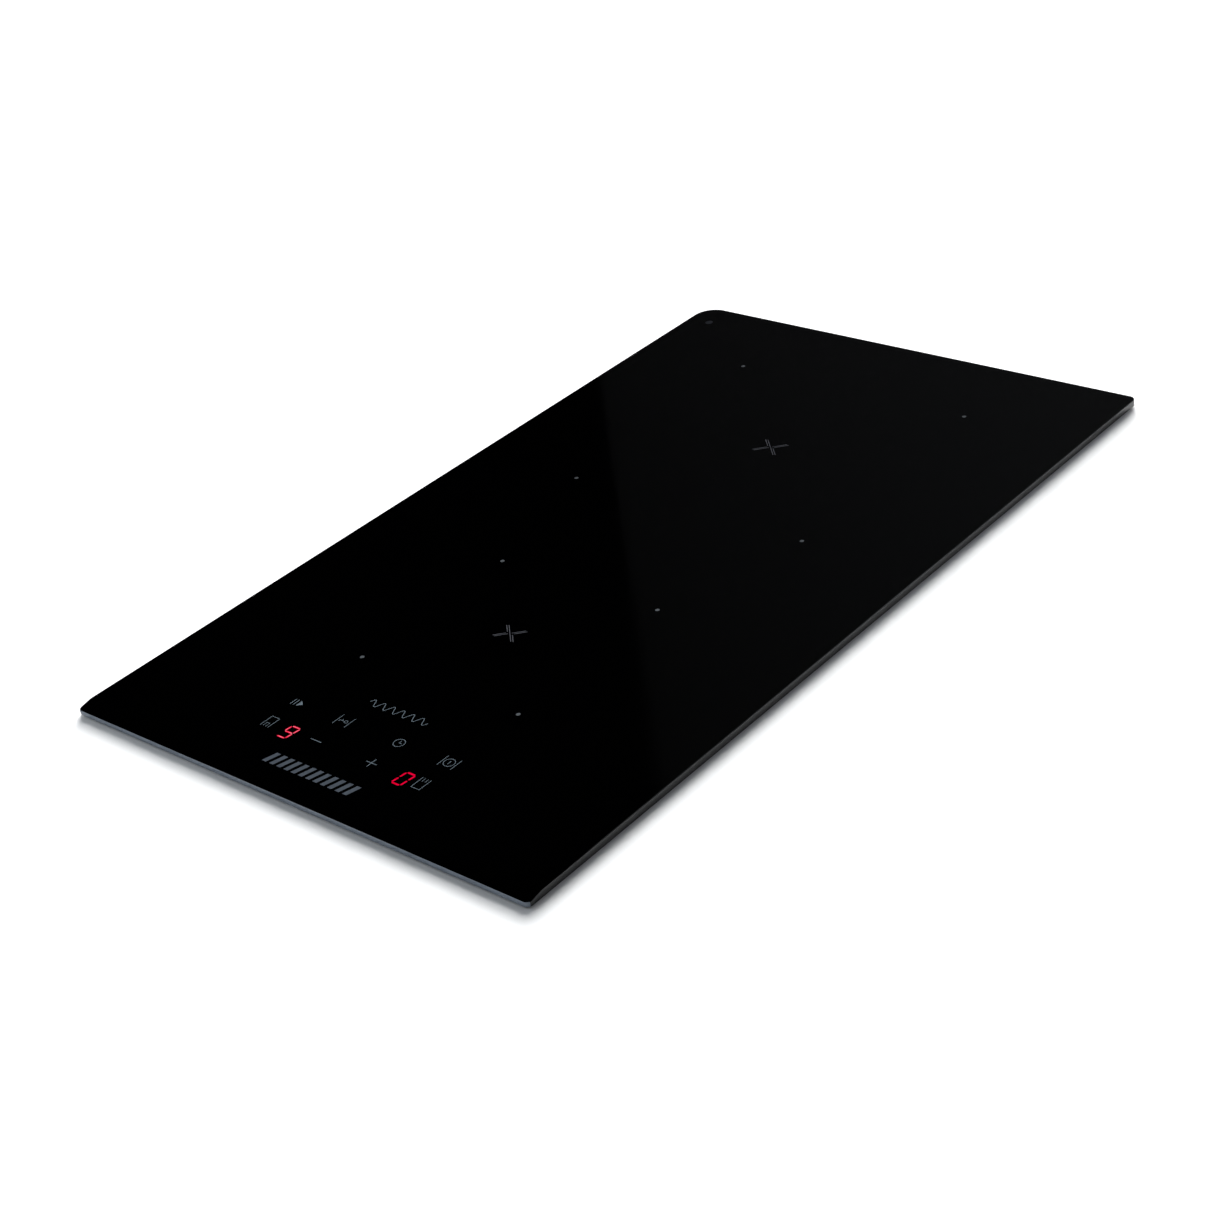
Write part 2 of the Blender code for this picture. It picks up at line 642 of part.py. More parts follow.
def controls(looks):
    """Carrier, board, read-outs and touch springs under the front of the glass."""
    middle = (KEY_Y_BACK + KEY_Y_FRONT) / 2
    half_x, half_y, wall = CARRIER_HALF_X, CARRIER_HALF_Y, CARRIER_WALL
    carrier = block(
        "control_carrier", (-half_x, middle - half_y, CARRIER_LOW), (half_x, middle + half_y, CARRIER_HIGH),
        looks["white_plastic"],
    )
    hollow = ((-half_x + wall, middle - half_y + wall, CARRIER_LOW + wall),
              (half_x - wall, middle + half_y - wall, CARRIER_HIGH + THROUGH))
    slot = ((-0.010, middle + 0.008, CARRIER_LOW - THROUGH), (0.010, middle + 0.014, CARRIER_LOW + THROUGH))
    boolean(carrier, helper_blocks("carrier_hollow", [hollow]), "DIFFERENCE")
    boolean(carrier, helper_blocks("carrier_slot", [slot]), "DIFFERENCE")
    posts = [(x, middle, POST_RADIUS) for x in (-CARRIER_POST_X, CARRIER_POST_X)]
    boolean(carrier, helper_discs("carrier_posts", posts, TRAY_FLOOR + GAP, CARRIER_LOW + wall / 2), "UNION")

    board_half = half_y - wall - 0.001
    block(
        "control_board", (-half_x + 0.003, middle - board_half, CONTROL_BOARD_LOW),
        (half_x - 0.003, middle + board_half, CONTROL_BOARD_LOW + BOARD), looks["board"],
    )
    base = CONTROL_BOARD_LOW + BOARD + GAP
    for name, side in (("rear_zone_readout", -1), ("front_zone_readout", 1)):
        x = side * READOUT_X
        block(name, (x - READOUT_HALF, KEY_Y_FRONT - 0.007, base),
              (x + READOUT_HALF, KEY_Y_FRONT + 0.005, GLASS_UNDER - 0.002), looks["readout"])

    keys = {
        "pause": (-KEY_X[0], KEY_Y_BACK), "lock": (-KEY_X[1], KEY_Y_BACK),
        "timer": (KEY_X[1], KEY_Y_BACK), "power": (KEY_X[0], KEY_Y_BACK),
        "rear_zone": (-KEY_X[0], KEY_Y_FRONT), "minus": (-KEY_X[1], KEY_Y_FRONT),
        "plus": (KEY_X[1], KEY_Y_FRONT), "front_zone": (KEY_X[0], KEY_Y_FRONT),
    }
    for key, (x, y) in keys.items():
        spring = turned(
            f"touch_spring_{key}",
            [(0.0028, base), (0.0036, base), (0.0050, GLASS_UNDER - GAP), (0.0042, GLASS_UNDER - GAP)],
            looks["steel"], steps=16,
        )
        spring.location = (x, y, 0.0)

    ribbon_y = middle + 0.011
    high, low, thick = CONTROL_BOARD_LOW - GAP, 0.0085, 0.001
    outline = [
        (ribbon_y, high), (ribbon_y, low), (-0.120, low), (-0.120, BOARD_TOP + GAP),
        (-0.120 + thick, BOARD_TOP + GAP), (-0.120 + thick, low + thick), (ribbon_y + thick, low + thick),
        (ribbon_y + thick, high),
    ]
    extruded_side("control_ribbon", outline, -0.008, 0.008, looks["ribbon"])


def coil_leads(look):
    """The wires that join each winding to the power board, down through the plate."""
    runs = (("rear", REAR_ZONE_Y, REAR_LEAD_X, 0.092), ("front", FRONT_ZONE_Y, FRONT_LEAD_X, -0.084))
    for zone, y, x, foot in runs:
        outer = x - 0.006
        route = [(outer, y, WINDING_LOW + 0.0030), (x - 0.001, y, WINDING_LOW + 0.001),
                 (x, y, PLATE_TOP), (x - 0.002, (y + foot) / 2, 0.024),
                 (x - 0.004, foot, BOARD_TOP + 0.0015)]
        tube(f"{zone}_coil_lead", route, LEAD_RADIUS, look)


def mains_connection(looks):
    terminal = block(
        "terminal_block", (WINDOW_X[0] + 0.004, WALL_Y - 0.024, 0.011),
        (WINDOW_X[1] - 0.004, WALL_Y - 0.003, 0.030), looks["terminal"],
    )
    wells = []
    for i in range(WELLS):
        x = sum(WINDOW_X) / 2 + (i - WELLS // 2) * WELL_PITCH
        wells.append(((x - 0.003, WALL_Y - 0.010, 0.014), (x + 0.003, WALL_Y, 0.022)))
    boolean(terminal, helper_blocks("terminal_wells", wells), "DIFFERENCE")

    cover = block(
        "terminal_cover", (WINDOW_X[0] - 0.004, 0.0006, 0.0), (WINDOW_X[1] + 0.004, 0.0021, 0.035),
        looks["black"],
    )
    cover.location = (0.0, COVER_HINGE_Y - 0.0010, COVER_HINGE_Z)
    barrel = disc("cover_barrel", BARREL_RADIUS, WINDOW_X[0] - 0.0055, WINDOW_X[1] + 0.0055, None, steps=16)
    pegs = disc("cover_pegs", PIVOT_RADIUS, WINDOW_X[0] - 0.0090, WINDOW_X[1] + 0.0090, None, steps=12)
    for helper in (barrel, pegs):
        helper.rotation_euler = (0.0, math.pi / 2, 0.0)
        helper.location = (0.0, COVER_HINGE_Y, COVER_HINGE_Z)
        boolean(cover, helper, "UNION")

    inside, outside, lip = -(SHEET + GAP), GAP, INLET_HOLE + 0.0025
    inlet = turned(
        "cable_inlet",
        [(INLET_BORE, inside - 0.003), (lip, inside - 0.003), (lip, inside),
         (INLET_HOLE - GAP, inside), (INLET_HOLE - GAP, outside), (lip, outside),
         (INLET_HOLE + 0.0015, outside + 0.004), (INLET_BORE, outside + 0.004)],
        looks["rubber"], steps=24,
    )
    along_y(inlet)
    inlet.location = (INLET_X, WALL_Y, INLET_Z)


def worktop_clamps(looks):
    """Four swivelling clamps, folded along the casing's sides, and the screws they turn on."""
    for number, (side, _, (x, y)) in enumerate(clamp_places(), start=1):
        outline = [(CLAMP_HALF, CLAMP_REACH), (-CLAMP_HALF, CLAMP_REACH)]
        for step in range(9):
            angle = math.pi * (1 + step / 8)
            outline.append((CLAMP_HALF * math.cos(angle), CLAMP_HALF * math.sin(angle)))
        arm = prism(f"worktop_clamp_{number}", outline, CLAMP_LOW, CLAMP_LOW + CLAMP_SHEET, looks["steel"])
        arm.location = (x, y, 0.0)
        tongue = helper_blocks(
            f"clamp_tongue_{number}",
            [((-CLAMP_HALF, CLAMP_REACH - CLAMP_SHEET, CLAMP_LOW + CLAMP_SHEET / 2),
              (CLAMP_HALF, CLAMP_REACH, POCKET_HIGH - 0.001))],
        )
        tongue.location = (x, y, 0.0)
        boolean(arm, tongue, "UNION")
        hole = helper_discs(f"clamp_hole_{number}", [(x, y, SCREW_RADIUS + 0.0004)], 0.0, 0.012)
        boolean(arm, hole, "DIFFERENCE")

        screw = disc(f"clamp_screw_{number}", SCREW_RADIUS, 0.002, 0.016, looks["steel"], steps=16)
        screw.location = (x, y, 0.0)
        head = disc(f"clamp_screw_head_{number}", SCREW_HEAD, 0.0012, CLAMP_LOW - GAP, None, steps=20)
        head.location = (x, y, 0.0)
        boolean(screw, head, "UNION")


def main():
    clear_scene()
    looks = {
        "glass": material("black_glass", (0.004, 0.004, 0.005), 0.06),
        "silicone": material("black_silicone", (0.02, 0.02, 0.02), 0.6),
        "foam": material("grey_foam", (0.10, 0.10, 0.10), 0.9),
        "tray": material("galvanised_sheet", (0.55, 0.57, 0.58), 0.4, 1.0),
        "aluminium": material("plain_aluminium", (0.78, 0.79, 0.80), 0.35, 1.0),
        "former": material("heat_proof_plastic", (0.80, 0.78, 0.72), 0.6),
        "copper": material("enamelled_copper", (0.60, 0.26, 0.12), 0.4, 1.0),
        "mica": material("mica", (0.62, 0.58, 0.50), 0.5),
        "ferrite": material("ferrite", (0.08, 0.08, 0.09), 0.6),
        "sensor": material("sensor_ceramic", (0.85, 0.83, 0.78), 0.5),
        "board": material("green_board", (0.03, 0.16, 0.08), 0.5),
        "black": material("black_plastic", (0.02, 0.02, 0.02), 0.5),
        "capacitor": material("capacitor_case", (0.75, 0.60, 0.10), 0.5),
        "fan": material("fan_plastic", (0.04, 0.04, 0.04), 0.5),
        "white_plastic": material("white_plastic", (0.75, 0.75, 0.73), 0.5),
        "readout": material("readout_red", (0.10, 0.01, 0.01), 0.4),
        "steel": material("zinc_plated_steel", (0.70, 0.70, 0.68), 0.35, 1.0),
        "ribbon": material("grey_ribbon", (0.45, 0.45, 0.47), 0.5),
        "lead": material("silicone_lead", (0.60, 0.58, 0.52), 0.6),
        "terminal": material("terminal_plastic", (0.70, 0.70, 0.66), 0.5),
        "rubber": material("black_rubber", (0.02, 0.02, 0.02), 0.8),
    }
    glass_top(looks["glass"])
    glass_bond(looks["silicone"])
    worktop_seal(looks["foam"])
    casing_tray(looks["tray"])
    coil_plate(looks["aluminium"])
    coil_unit("rear", REAR_ZONE_Y, REAR_COIL, REAR_BARS, looks)
    coil_unit("front", FRONT_ZONE_Y, FRONT_COIL, FRONT_BARS, looks)
    power_electronics(looks)
    fan(looks)
    controls(looks)
    coil_leads(looks["lead"])
    mains_connection(looks)
    worktop_clamps(looks)


main()
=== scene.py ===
"""Looks of the two-zone induction cooktop: glass, printed marks, read-outs, coils, wiring and materials."""

import json
import math

import bmesh
import bpy
from mathutils import Matrix, Vector

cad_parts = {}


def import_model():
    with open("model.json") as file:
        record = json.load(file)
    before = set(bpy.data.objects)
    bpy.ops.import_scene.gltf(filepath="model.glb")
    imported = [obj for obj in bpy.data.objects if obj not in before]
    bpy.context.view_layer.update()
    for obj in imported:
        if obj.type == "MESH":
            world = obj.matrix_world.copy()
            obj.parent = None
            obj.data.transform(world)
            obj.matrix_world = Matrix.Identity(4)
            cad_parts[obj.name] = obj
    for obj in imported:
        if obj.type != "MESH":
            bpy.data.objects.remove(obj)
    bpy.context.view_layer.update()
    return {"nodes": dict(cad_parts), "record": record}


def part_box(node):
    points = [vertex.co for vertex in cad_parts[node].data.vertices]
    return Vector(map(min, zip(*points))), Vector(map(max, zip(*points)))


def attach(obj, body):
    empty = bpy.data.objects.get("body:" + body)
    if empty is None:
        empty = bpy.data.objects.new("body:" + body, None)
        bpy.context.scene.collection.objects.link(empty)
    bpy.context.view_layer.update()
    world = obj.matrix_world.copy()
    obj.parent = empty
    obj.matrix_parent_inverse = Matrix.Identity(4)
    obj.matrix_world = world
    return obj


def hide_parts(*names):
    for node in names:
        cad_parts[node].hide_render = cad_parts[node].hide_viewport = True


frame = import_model()

MM = 0.001
CASING = "casing"
GLASS_LOW, GLASS_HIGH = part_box("glass_top")
GLASS_TOP = GLASS_HIGH.z
GLASS_CORNERS = (4.0, 13.0, 3.0, 3.0)  # millimetres: back right, back left, front left, front right
GLASS_BEVEL = 0.6 * MM
GLASS_SHARP = 9.5  # degrees between faces that show as a crease, so that the facet's back edge stays crisp
FACET_WIDTH, FACET_DROP = 9.0 * MM, 1.7 * MM  # the front strip of the glass is ground to a shallow slope
FRONT_FACING = 0.45  # an edge face that turns this much to the user has the satin ground finish, coloured lighter and bluish as a painted highlight
INK = 0.02 * MM  # height of the printed enamel above the glass
INK_DEPTH = 0.01 * MM  # how far the enamel reaches into the glass
LINE = 0.32  # width of the printed symbols' lines, in millimetres
THIN_LINE = 0.28
SOLDER = 0.05 * MM  # gap between a board and the small parts on it

# Printed layout on the glass, in millimetres from its middle
ZONES = {"rear": (118.4, 76.7, 10.0), "front": (-99.1, 52.3, 8.6)}  # centre y, dot offset, cross arm
KEY_ROW_BACK = -197.0
KEY_ROW_FRONT = -215.4
READOUTS = {"rear": (-36.2, "9"), "front": (40.5, "0")}
READOUT_LOW, READOUT_HIGH = -222.2, -211.9


# ---------------------------------------------------------------- materials

NOISE_LOW, NOISE_HIGH = 0.3, 0.7  # most of a noise texture's values lie between these
BUMP_HEIGHT = 0.2 * MM


def new_material(name, rough, metallic=0.0):
    made = bpy.data.materials.new(name)
    made.use_nodes = True
    shader = made.node_tree.nodes["Principled BSDF"]
    shader.inputs["Roughness"].default_value = rough
    shader.inputs["Metallic"].default_value = metallic
    return made, made.node_tree, shader


def link(tree, source, output, target, socket):
    tree.links.new(source.outputs[output], target.inputs[socket])


def pattern(tree, kind, scale, detail=4.0, stretch=(1.0, 1.0, 1.0)):
    """A noise or Voronoi texture in the piece's own coordinates."""
    place = tree.nodes.new("ShaderNodeTexCoord")
    mapping = tree.nodes.new("ShaderNodeMapping")
    mapping.inputs["Scale"].default_value = stretch
    link(tree, place, "Object", mapping, "Vector")
    texture = tree.nodes.new("ShaderNodeTexNoise" if kind == "noise" else "ShaderNodeTexVoronoi")
    texture.inputs["Scale"].default_value = scale
    if kind == "noise":
        texture.inputs["Detail"].default_value = detail
    link(tree, mapping, "Vector", texture, "Vector")
    return texture, "Fac" if kind == "noise" else "Color"


def ramp(tree, source, output, low, high, colour_low, colour_high):
    """Blends two colours as the source goes from low to high."""
    made = tree.nodes.new("ShaderNodeValToRGB")
    first, last = made.color_ramp.elements
    first.position, last.position = low, high
    first.color, last.color = (*colour_low, 1.0), (*colour_high, 1.0)
    link(tree, source, output, made, "Fac")
    return made


def spread(tree, source, output, low, high):
    """Maps the middle of a noise texture's range to values between low and high."""
    made = tree.nodes.new("ShaderNodeMapRange")
    made.inputs["From Min"].default_value = NOISE_LOW
    made.inputs["From Max"].default_value = NOISE_HIGH
    made.inputs["To Min"].default_value = low
    made.inputs["To Max"].default_value = high
    link(tree, source, output, made, "Value")
    return made


def surface(name, dark, light, rough, metallic=0.0, scale=60.0, kind="noise",
            stretch=(1.0, 1.0, 1.0), bump=0.1, grain=900.0):
    """A mottled surface: colour between dark and light, roughness between two values, and a fine grain."""
    made, tree, shader = new_material(name, sum(rough) / 2, metallic)
    broad, out = pattern(tree, kind, scale, stretch=stretch)
    colour = ramp(tree, broad, out, NOISE_LOW, NOISE_HIGH, dark, light)
    link(tree, colour, "Color", shader, "Base Color")
    fine, fine_out = pattern(tree, "noise", grain, 2.0, stretch)
    link(tree, spread(tree, fine, fine_out, *rough), "Result", shader, "Roughness")
    raised = tree.nodes.new("ShaderNodeBump")
    raised.inputs["Strength"].default_value = bump
    raised.inputs["Distance"].default_value = BUMP_HEIGHT
    link(tree, fine, fine_out, raised, "Height")
    link(tree, raised, "Normal", shader, "Normal")
    return made


def glass_material():
    """Near-black glass-ceramic: a polished face with a very faint speckle."""
    made, tree, shader = new_material("glass_ceramic", 0.05)
    speckle, out = pattern(tree, "noise", 1500.0, 2.0)
    colour = ramp(tree, speckle, out, 0.45, 0.8, (0.00005, 0.00005, 0.00008), (0.00030, 0.00032, 0.00042))
    link(tree, colour, "Color", shader, "Base Color")
    haze, haze_out = pattern(tree, "noise", 9.0, 3.0)
    link(tree, spread(tree, haze, haze_out, 0.035, 0.075), "Result", shader, "Roughness")
    shader.inputs["Specular IOR Level"].default_value = 0.5
    shader.inputs["IOR"].default_value = 1.54
    return made


def ink_material(name, dark, light):
    """Fired enamel print: slightly uneven cover and a satin face."""
    made, tree, shader = new_material(name, 0.4)
    cover, out = pattern(tree, "noise", 700.0, 3.0)
    colour = ramp(tree, cover, out, NOISE_LOW, NOISE_HIGH, dark, light)
    link(tree, colour, "Color", shader, "Base Color")
    link(tree, spread(tree, cover, out, 0.35, 0.55), "Result", shader, "Roughness")
    shader.inputs["Specular IOR Level"].default_value = 0.2
    return made


def glow_material(name, edge, core):
    """A lit read-out segment, with a slightly uneven brightness."""
    made, tree, shader = new_material(name, 0.5)
    shader.inputs["Base Color"].default_value = (0.004, 0.0, 0.0, 1.0)
    shader.inputs["Specular IOR Level"].default_value = 0.0
    uneven, out = pattern(tree, "noise", 500.0, 1.0)
    colour = ramp(tree, uneven, out, 0.35, 0.65, edge, core)
    link(tree, colour, "Color", shader, "Emission Color")
    shader.inputs["Emission Strength"].default_value = 1.0
    return made


def wire_material(name, dark, light, metallic, rough):
    """Wound or stranded wire: a fine mottle with a marked grain."""
    return surface(name, dark, light, rough, metallic, scale=400.0, bump=0.3, grain=2500.0)


def make_materials():
    zinc = surface("galvanised_sheet", (0.33, 0.35, 0.36), (0.43, 0.45, 0.47), (0.34, 0.48), 1.0,
                   scale=130.0, kind="voronoi", bump=0.05)
    return {
        "black_glass": glass_material(),
        # The front edge's lighter bluish colour is a painted highlight; its satin roughness is the ground
        # finish.
        "front_edge_highlight": surface("front_edge_painted_highlight", (0.115, 0.140, 0.172), (0.150, 0.178, 0.215), (0.35, 0.5),
                               scale=500.0, bump=0.05, grain=2500.0),
        "silicone": surface("silicone_bead", (0.010, 0.010, 0.011), (0.020, 0.020, 0.021), (0.5, 0.7),
                            scale=40.0),
        "foam": surface("foam_seal", (0.030, 0.030, 0.032), (0.090, 0.090, 0.093), (0.85, 0.98),
                        scale=1400.0, bump=0.8, grain=1800.0),
        "tray_steel": zinc,
        "aluminium": surface("mill_aluminium", (0.62, 0.63, 0.65), (0.84, 0.85, 0.86), (0.22, 0.42), 1.0,
                             scale=160.0, stretch=(1.0, 0.05, 1.0), bump=0.08),
        "former": surface("former_plastic", (0.62, 0.60, 0.53), (0.78, 0.76, 0.69), (0.45, 0.65), scale=80.0),
        "copper": wire_material("enamelled_wire", (0.32, 0.10, 0.035), (0.62, 0.25, 0.10), 0.9, (0.25, 0.45)),
        "mica": surface("mica_sheet", (0.42, 0.36, 0.27), (0.72, 0.67, 0.58), (0.25, 0.6), scale=120.0,
                        kind="voronoi", bump=0.2),
        "sensor": surface("sensor_ceramic", (0.74, 0.72, 0.66), (0.88, 0.87, 0.83), (0.4, 0.6), scale=300.0),
        "black_plastic": surface("black_plastic", (0.012, 0.012, 0.013), (0.028, 0.028, 0.030), (0.38, 0.58),
                                 scale=120.0, bump=0.25),
        "capacitor": surface("capacitor_case", (0.46, 0.33, 0.03), (0.62, 0.46, 0.06), (0.3, 0.45),
                             scale=50.0),
        "readout": surface("readout_case", (0.030, 0.006, 0.006), (0.060, 0.010, 0.010), (0.3, 0.45),
                           scale=200.0),
        "lead": wire_material("lead_sleeve", (0.46, 0.44, 0.38), (0.66, 0.64, 0.57), 0.0, (0.5, 0.7)),
        "board": board_material(),
        "white_plastic": surface("white_plastic", (0.60, 0.60, 0.58), (0.74, 0.74, 0.72), (0.4, 0.6),
                                 scale=90.0),
        "ribbon": surface("ribbon_sleeve", (0.30, 0.30, 0.32), (0.46, 0.46, 0.48), (0.4, 0.55), scale=200.0),
        "terminal": surface("terminal_plastic", (0.52, 0.52, 0.48), (0.68, 0.68, 0.64), (0.4, 0.6),
                            scale=90.0),
        "rubber": surface("black_rubber", (0.008, 0.008, 0.008), (0.022, 0.022, 0.022), (0.7, 0.9),
                          scale=300.0, bump=0.4),
        "ferrite": surface("ferrite", (0.035, 0.035, 0.038), (0.10, 0.10, 0.105), (0.5, 0.75), scale=500.0,
                           bump=0.5),
        "zinc_steel": surface("zinc_plated_steel", (0.46, 0.46, 0.44), (0.74, 0.74, 0.72), (0.22, 0.40), 1.0,
                              scale=220.0, bump=0.06),
    }


def board_material():
    """Green solder mask over copper tracks, which show as lighter straight runs."""
    made, tree, shader = new_material("circuit_board", 0.35)
    tracks = tree.nodes.new("ShaderNodeTexBrick")
    place = tree.nodes.new("ShaderNodeTexCoord")
    link(tree, place, "Object", tracks, "Vector")
    tracks.inputs["Scale"].default_value = 60.0
    tracks.inputs["Mortar Size"].default_value = 0.03
    tracks.inputs["Color1"].default_value = (0.006, 0.075, 0.032, 1.0)
    tracks.inputs["Color2"].default_value = (0.010, 0.105, 0.045, 1.0)
    tracks.inputs["Mortar"].default_value = (0.004, 0.045, 0.020, 1.0)
    link(tree, tracks, "Color", shader, "Base Color")
    weave, out = pattern(tree, "noise", 800.0, 2.0)
    link(tree, spread(tree, weave, out, 0.28, 0.42), "Result", shader, "Roughness")
    return made


# ---------------------------------------------------------------- geometry helpers

SHARPEST_MITRE = 0.4  # keeps a line's mitred corner from growing a long spike


def finish_piece(name, build, look, body=CASING, smooth=None):
    """Makes a riding piece from a bmesh, with its faces turned outward."""
    bmesh.ops.recalc_face_normals(build, faces=build.faces)
    mesh = bpy.data.meshes.new(name)
    build.to_mesh(mesh)
    build.free()
    if smooth is not None:
        mesh.shade_smooth()
        mesh.set_sharp_from_angle(angle=math.radians(smooth))
    mesh.materials.append(look)
    made = bpy.data.objects.new(name, mesh)
    bpy.context.scene.collection.objects.link(made)
    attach(made, body)
    return made


def skin(build, rings, closed=False):
    """Joins rings of equal point counts with faces, and returns their vertices."""
    loops = [[build.verts.new(point) for point in ring] for ring in rings]
    pairs = list(zip(loops, loops[1:]))
    if closed:
        pairs.append((loops[-1], loops[0]))
    for low, high in pairs:
        for i in range(len(low)):
            j = (i + 1) % len(low)
            build.faces.new((low[i], low[j], high[j], high[i]))
    return loops


def add_ring_stack(build, rings, closed=False):
    """A solid through rings of equal point counts, with its ends capped unless it is closed on itself."""
    loops = skin(build, rings, closed)
    if not closed:
        build.faces.new(list(reversed(loops[0])))
        build.faces.new(loops[-1])


def add_plate(build, outline, low, high):
    add_ring_stack(build, [[Vector((x, y, z)) for x, y in outline] for z in (low, high)])


def add_line(build, points, width, low, high, closed=False):
    """A flat line of constant width along points, with mitred corners."""
    points = [Vector(point) for point in points]
    count = len(points)
    left, right = [], []
    for i, point in enumerate(points):
        before = points[i - 1] if closed or i else None
        after = points[(i + 1) % count] if closed or i < count - 1 else None
        into = (point - before).normalized() if before is not None else (after - point).normalized()
        out = (after - point).normalized() if after is not None else into
        normal = Vector((-(into + out).y, (into + out).x)).normalized()
        reach = width / 2 / max(SHARPEST_MITRE, normal.dot(Vector((-into.y, into.x))))
        left.append(point + normal * reach)
        right.append(point - normal * reach)
    sections = [
        [Vector((*l, low)), Vector((*r, low)), Vector((*r, high)), Vector((*l, high))]
        for l, r in zip(left, right)
    ]
    add_ring_stack(build, sections, closed)


def arc(centre, radius, start, end, steps):
    """Points of an arc, with angles in degrees."""
    return [
        (centre[0] + radius * math.cos(math.radians(start + (end - start) * i / steps)),
         centre[1] + radius * math.sin(math.radians(start + (end - start) * i / steps)))
        for i in range(steps + 1)
    ]


def ring_points(centre, radius, steps=40):
    return arc(centre, radius, 0, 360, steps)[:-1]


def add_tube(build, route, radius, sides=8):
    """A round wire along a list of points."""
    rings = []
    count = len(route)
    for i, point in enumerate(route):
        ahead = (route[min(i + 1, count - 1)] - route[max(i - 1, 0)]).normalized()
        side = ahead.cross(Vector((0.0, 0.0, 1.0)))
        if side.length < 0.05:
            side = Vector((1.0, 0.0, 0.0))
        side.normalize()
        up = side.cross(ahead)
        rings.append([point + radius * (math.cos(math.tau * k / sides) * side
                                        + math.sin(math.tau * k / sides) * up) for k in range(sides)])
    add_ring_stack(build, rings)


def add_turned(build, centre, profile, steps=32, axis="Z"):
    """A closed profile of (radius, height) points turned about an axis through centre."""
    turn = {"Z": Matrix.Identity(3), "Y": Matrix.Rotation(-math.pi / 2, 3, "X")}[axis]
    rings = []
    for radius, height in profile:
        rings.append([
            Vector(centre) + turn @ Vector((radius * math.cos(math.tau * i / steps),
                                            radius * math.sin(math.tau * i / steps), height))
            for i in range(steps)
        ])
    add_ring_stack(build, rings, closed=True)


def add_block(build, low, high, bevel):
    """A box whose top edges are chamfered by bevel."""
    def outline(inset):
        return [(low[0] + inset, low[1] + inset), (high[0] - inset, low[1] + inset),
                (high[0] - inset, high[1] - inset), (low[0] + inset, high[1] - inset)]

    levels = [(0.0, low[2]), (0.0, high[2] - bevel), (bevel, high[2])]
    add_ring_stack(build, [[Vector((x, y, z)) for x, y in outline(inset)] for inset, z in levels])


# ---------------------------------------------------------------- glass and print

def glass_ring(inset, height, facet_y, sloped, steps=20):
    """The glass outline moved inward, with a point on each side where the facet begins."""
    low, high = GLASS_LOW, GLASS_HIGH
    corners = ((high.x, high.y), (low.x, high.y), (low.x, low.y), (high.x, low.y))
    points = []
    for quarter, ((x, y), corner) in enumerate(zip(corners, GLASS_CORNERS)):
        radius = corner * MM - inset
        middle = (x - math.copysign(inset + radius, x), y - math.copysign(inset + radius, y))
        points += arc(middle, radius, 90 * quarter, 90 * quarter + 90, steps)
        if quarter % 2:
            points.append((x - math.copysign(inset, x), facet_y))
    slope = FACET_DROP / FACET_WIDTH if sloped else 0.0
    return [Vector((x, y, height - slope * max(0.0, facet_y - y))) for x, y in points]


def glass_plate(looks):
    """The glass, with a round edge that is satin ground in front and coloured lighter and bluish there as a
    painted highlight, and a shallow facet along the front.
    """
    facet_y = GLASS_LOW.y + FACET_WIDTH
    small, small_steps, steps = GLASS_BEVEL / 3, 3, 8
    flat = 0.2 * MM
    rings = []
    for i in range(small_steps + 1):
        angle = math.pi / 2 * i / small_steps
        inset, rise = small * (1 - math.sin(angle)), small * (1 - math.cos(angle))
        rings.append(glass_ring(inset, GLASS_LOW.z + rise, facet_y, False))
    for i in range(steps + 1):
        angle = math.pi / 2 * i / steps
        inset, fall = GLASS_BEVEL * (1 - math.cos(angle)), GLASS_BEVEL * (1 - math.sin(angle))
        rings.append(glass_ring(inset, GLASS_TOP - fall, facet_y, True))
    rings.append(glass_ring(GLASS_BEVEL + flat, GLASS_TOP, facet_y, True))
    build = bmesh.new()
    loops = skin(build, rings)
    build.faces.new(list(reversed(loops[0])))
    facet_start = len(loops[-1]) // 2 - 1
    build.faces.new(loops[-1][: facet_start + 1] + [loops[-1][-1]])
    build.faces.new(loops[-1][facet_start:])
    plate = finish_piece("glass_plate", build, looks["black_glass"], smooth=GLASS_SHARP)
    # Edge faces turned to the user get the painted highlight colour.
    plate.data.materials.append(looks["front_edge_highlight"])
    for face in plate.data.polygons:
        if face.normal.y < -FRONT_FACING:
            face.material_index = 1
    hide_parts("glass_top")


def print_piece(name, look, draw):
    """A thin enamel print on the glass. draw adds its shapes, in millimetres."""
    build = bmesh.new()
    draw(build)
    bmesh.ops.scale(build, vec=(MM, MM, 1.0), verts=build.verts)
    return finish_piece(name, build, look)


PRINT_LOW = GLASS_TOP - INK_DEPTH
PRINT_HIGH = GLASS_TOP + INK


def printed_line(build, points, width=LINE, closed=False):
    add_line(build, points, width, PRINT_LOW, PRINT_HIGH, closed)


def printed_area(build, outline):
    add_plate(build, outline, PRINT_LOW, PRINT_HIGH)


def draw_cross(centre_y, arm):
    """Two crossed bars, each a full line with a half line beside it on either side."""
    offset, width = 1.15, 0.38
    full_share, gap, side_gap = 0.93, 0.9, 1.9

    def draw(build):
        for mirror in (1, -1):
            along = Vector((mirror, -1)).normalized()
            across = Vector((-along.y, along.x)) * mirror
            middle = Vector((0.0, centre_y))
            full = [middle - along * arm * full_share, middle + along * arm * full_share]
            if mirror == 1:
                printed_line(build, full, width)
            else:
                printed_line(build, [full[0], middle - along * gap], width)
                printed_line(build, [middle + along * gap, full[1]], width)
            first = middle - across * offset
            printed_line(build, [first - along * arm, first - along * side_gap], width)
            second = middle + across * offset
            printed_line(build, [second + along * side_gap, second + along * arm], width)

    return draw


def draw_dot(x, y, radius=1.15, steps=28):
    return lambda build: printed_area(build, ring_points((x, y), radius, steps))


def draw_pause(build):
    """Two upright bars and a triangle beside them."""
    for x in (-54.0, -52.1):
        printed_line(build, [(x, -199.2), (x, -194.6)], 0.42)
    printed_area(build, [(-50.3, -199.1), (-47.4, -196.9), (-50.3, -194.7)])


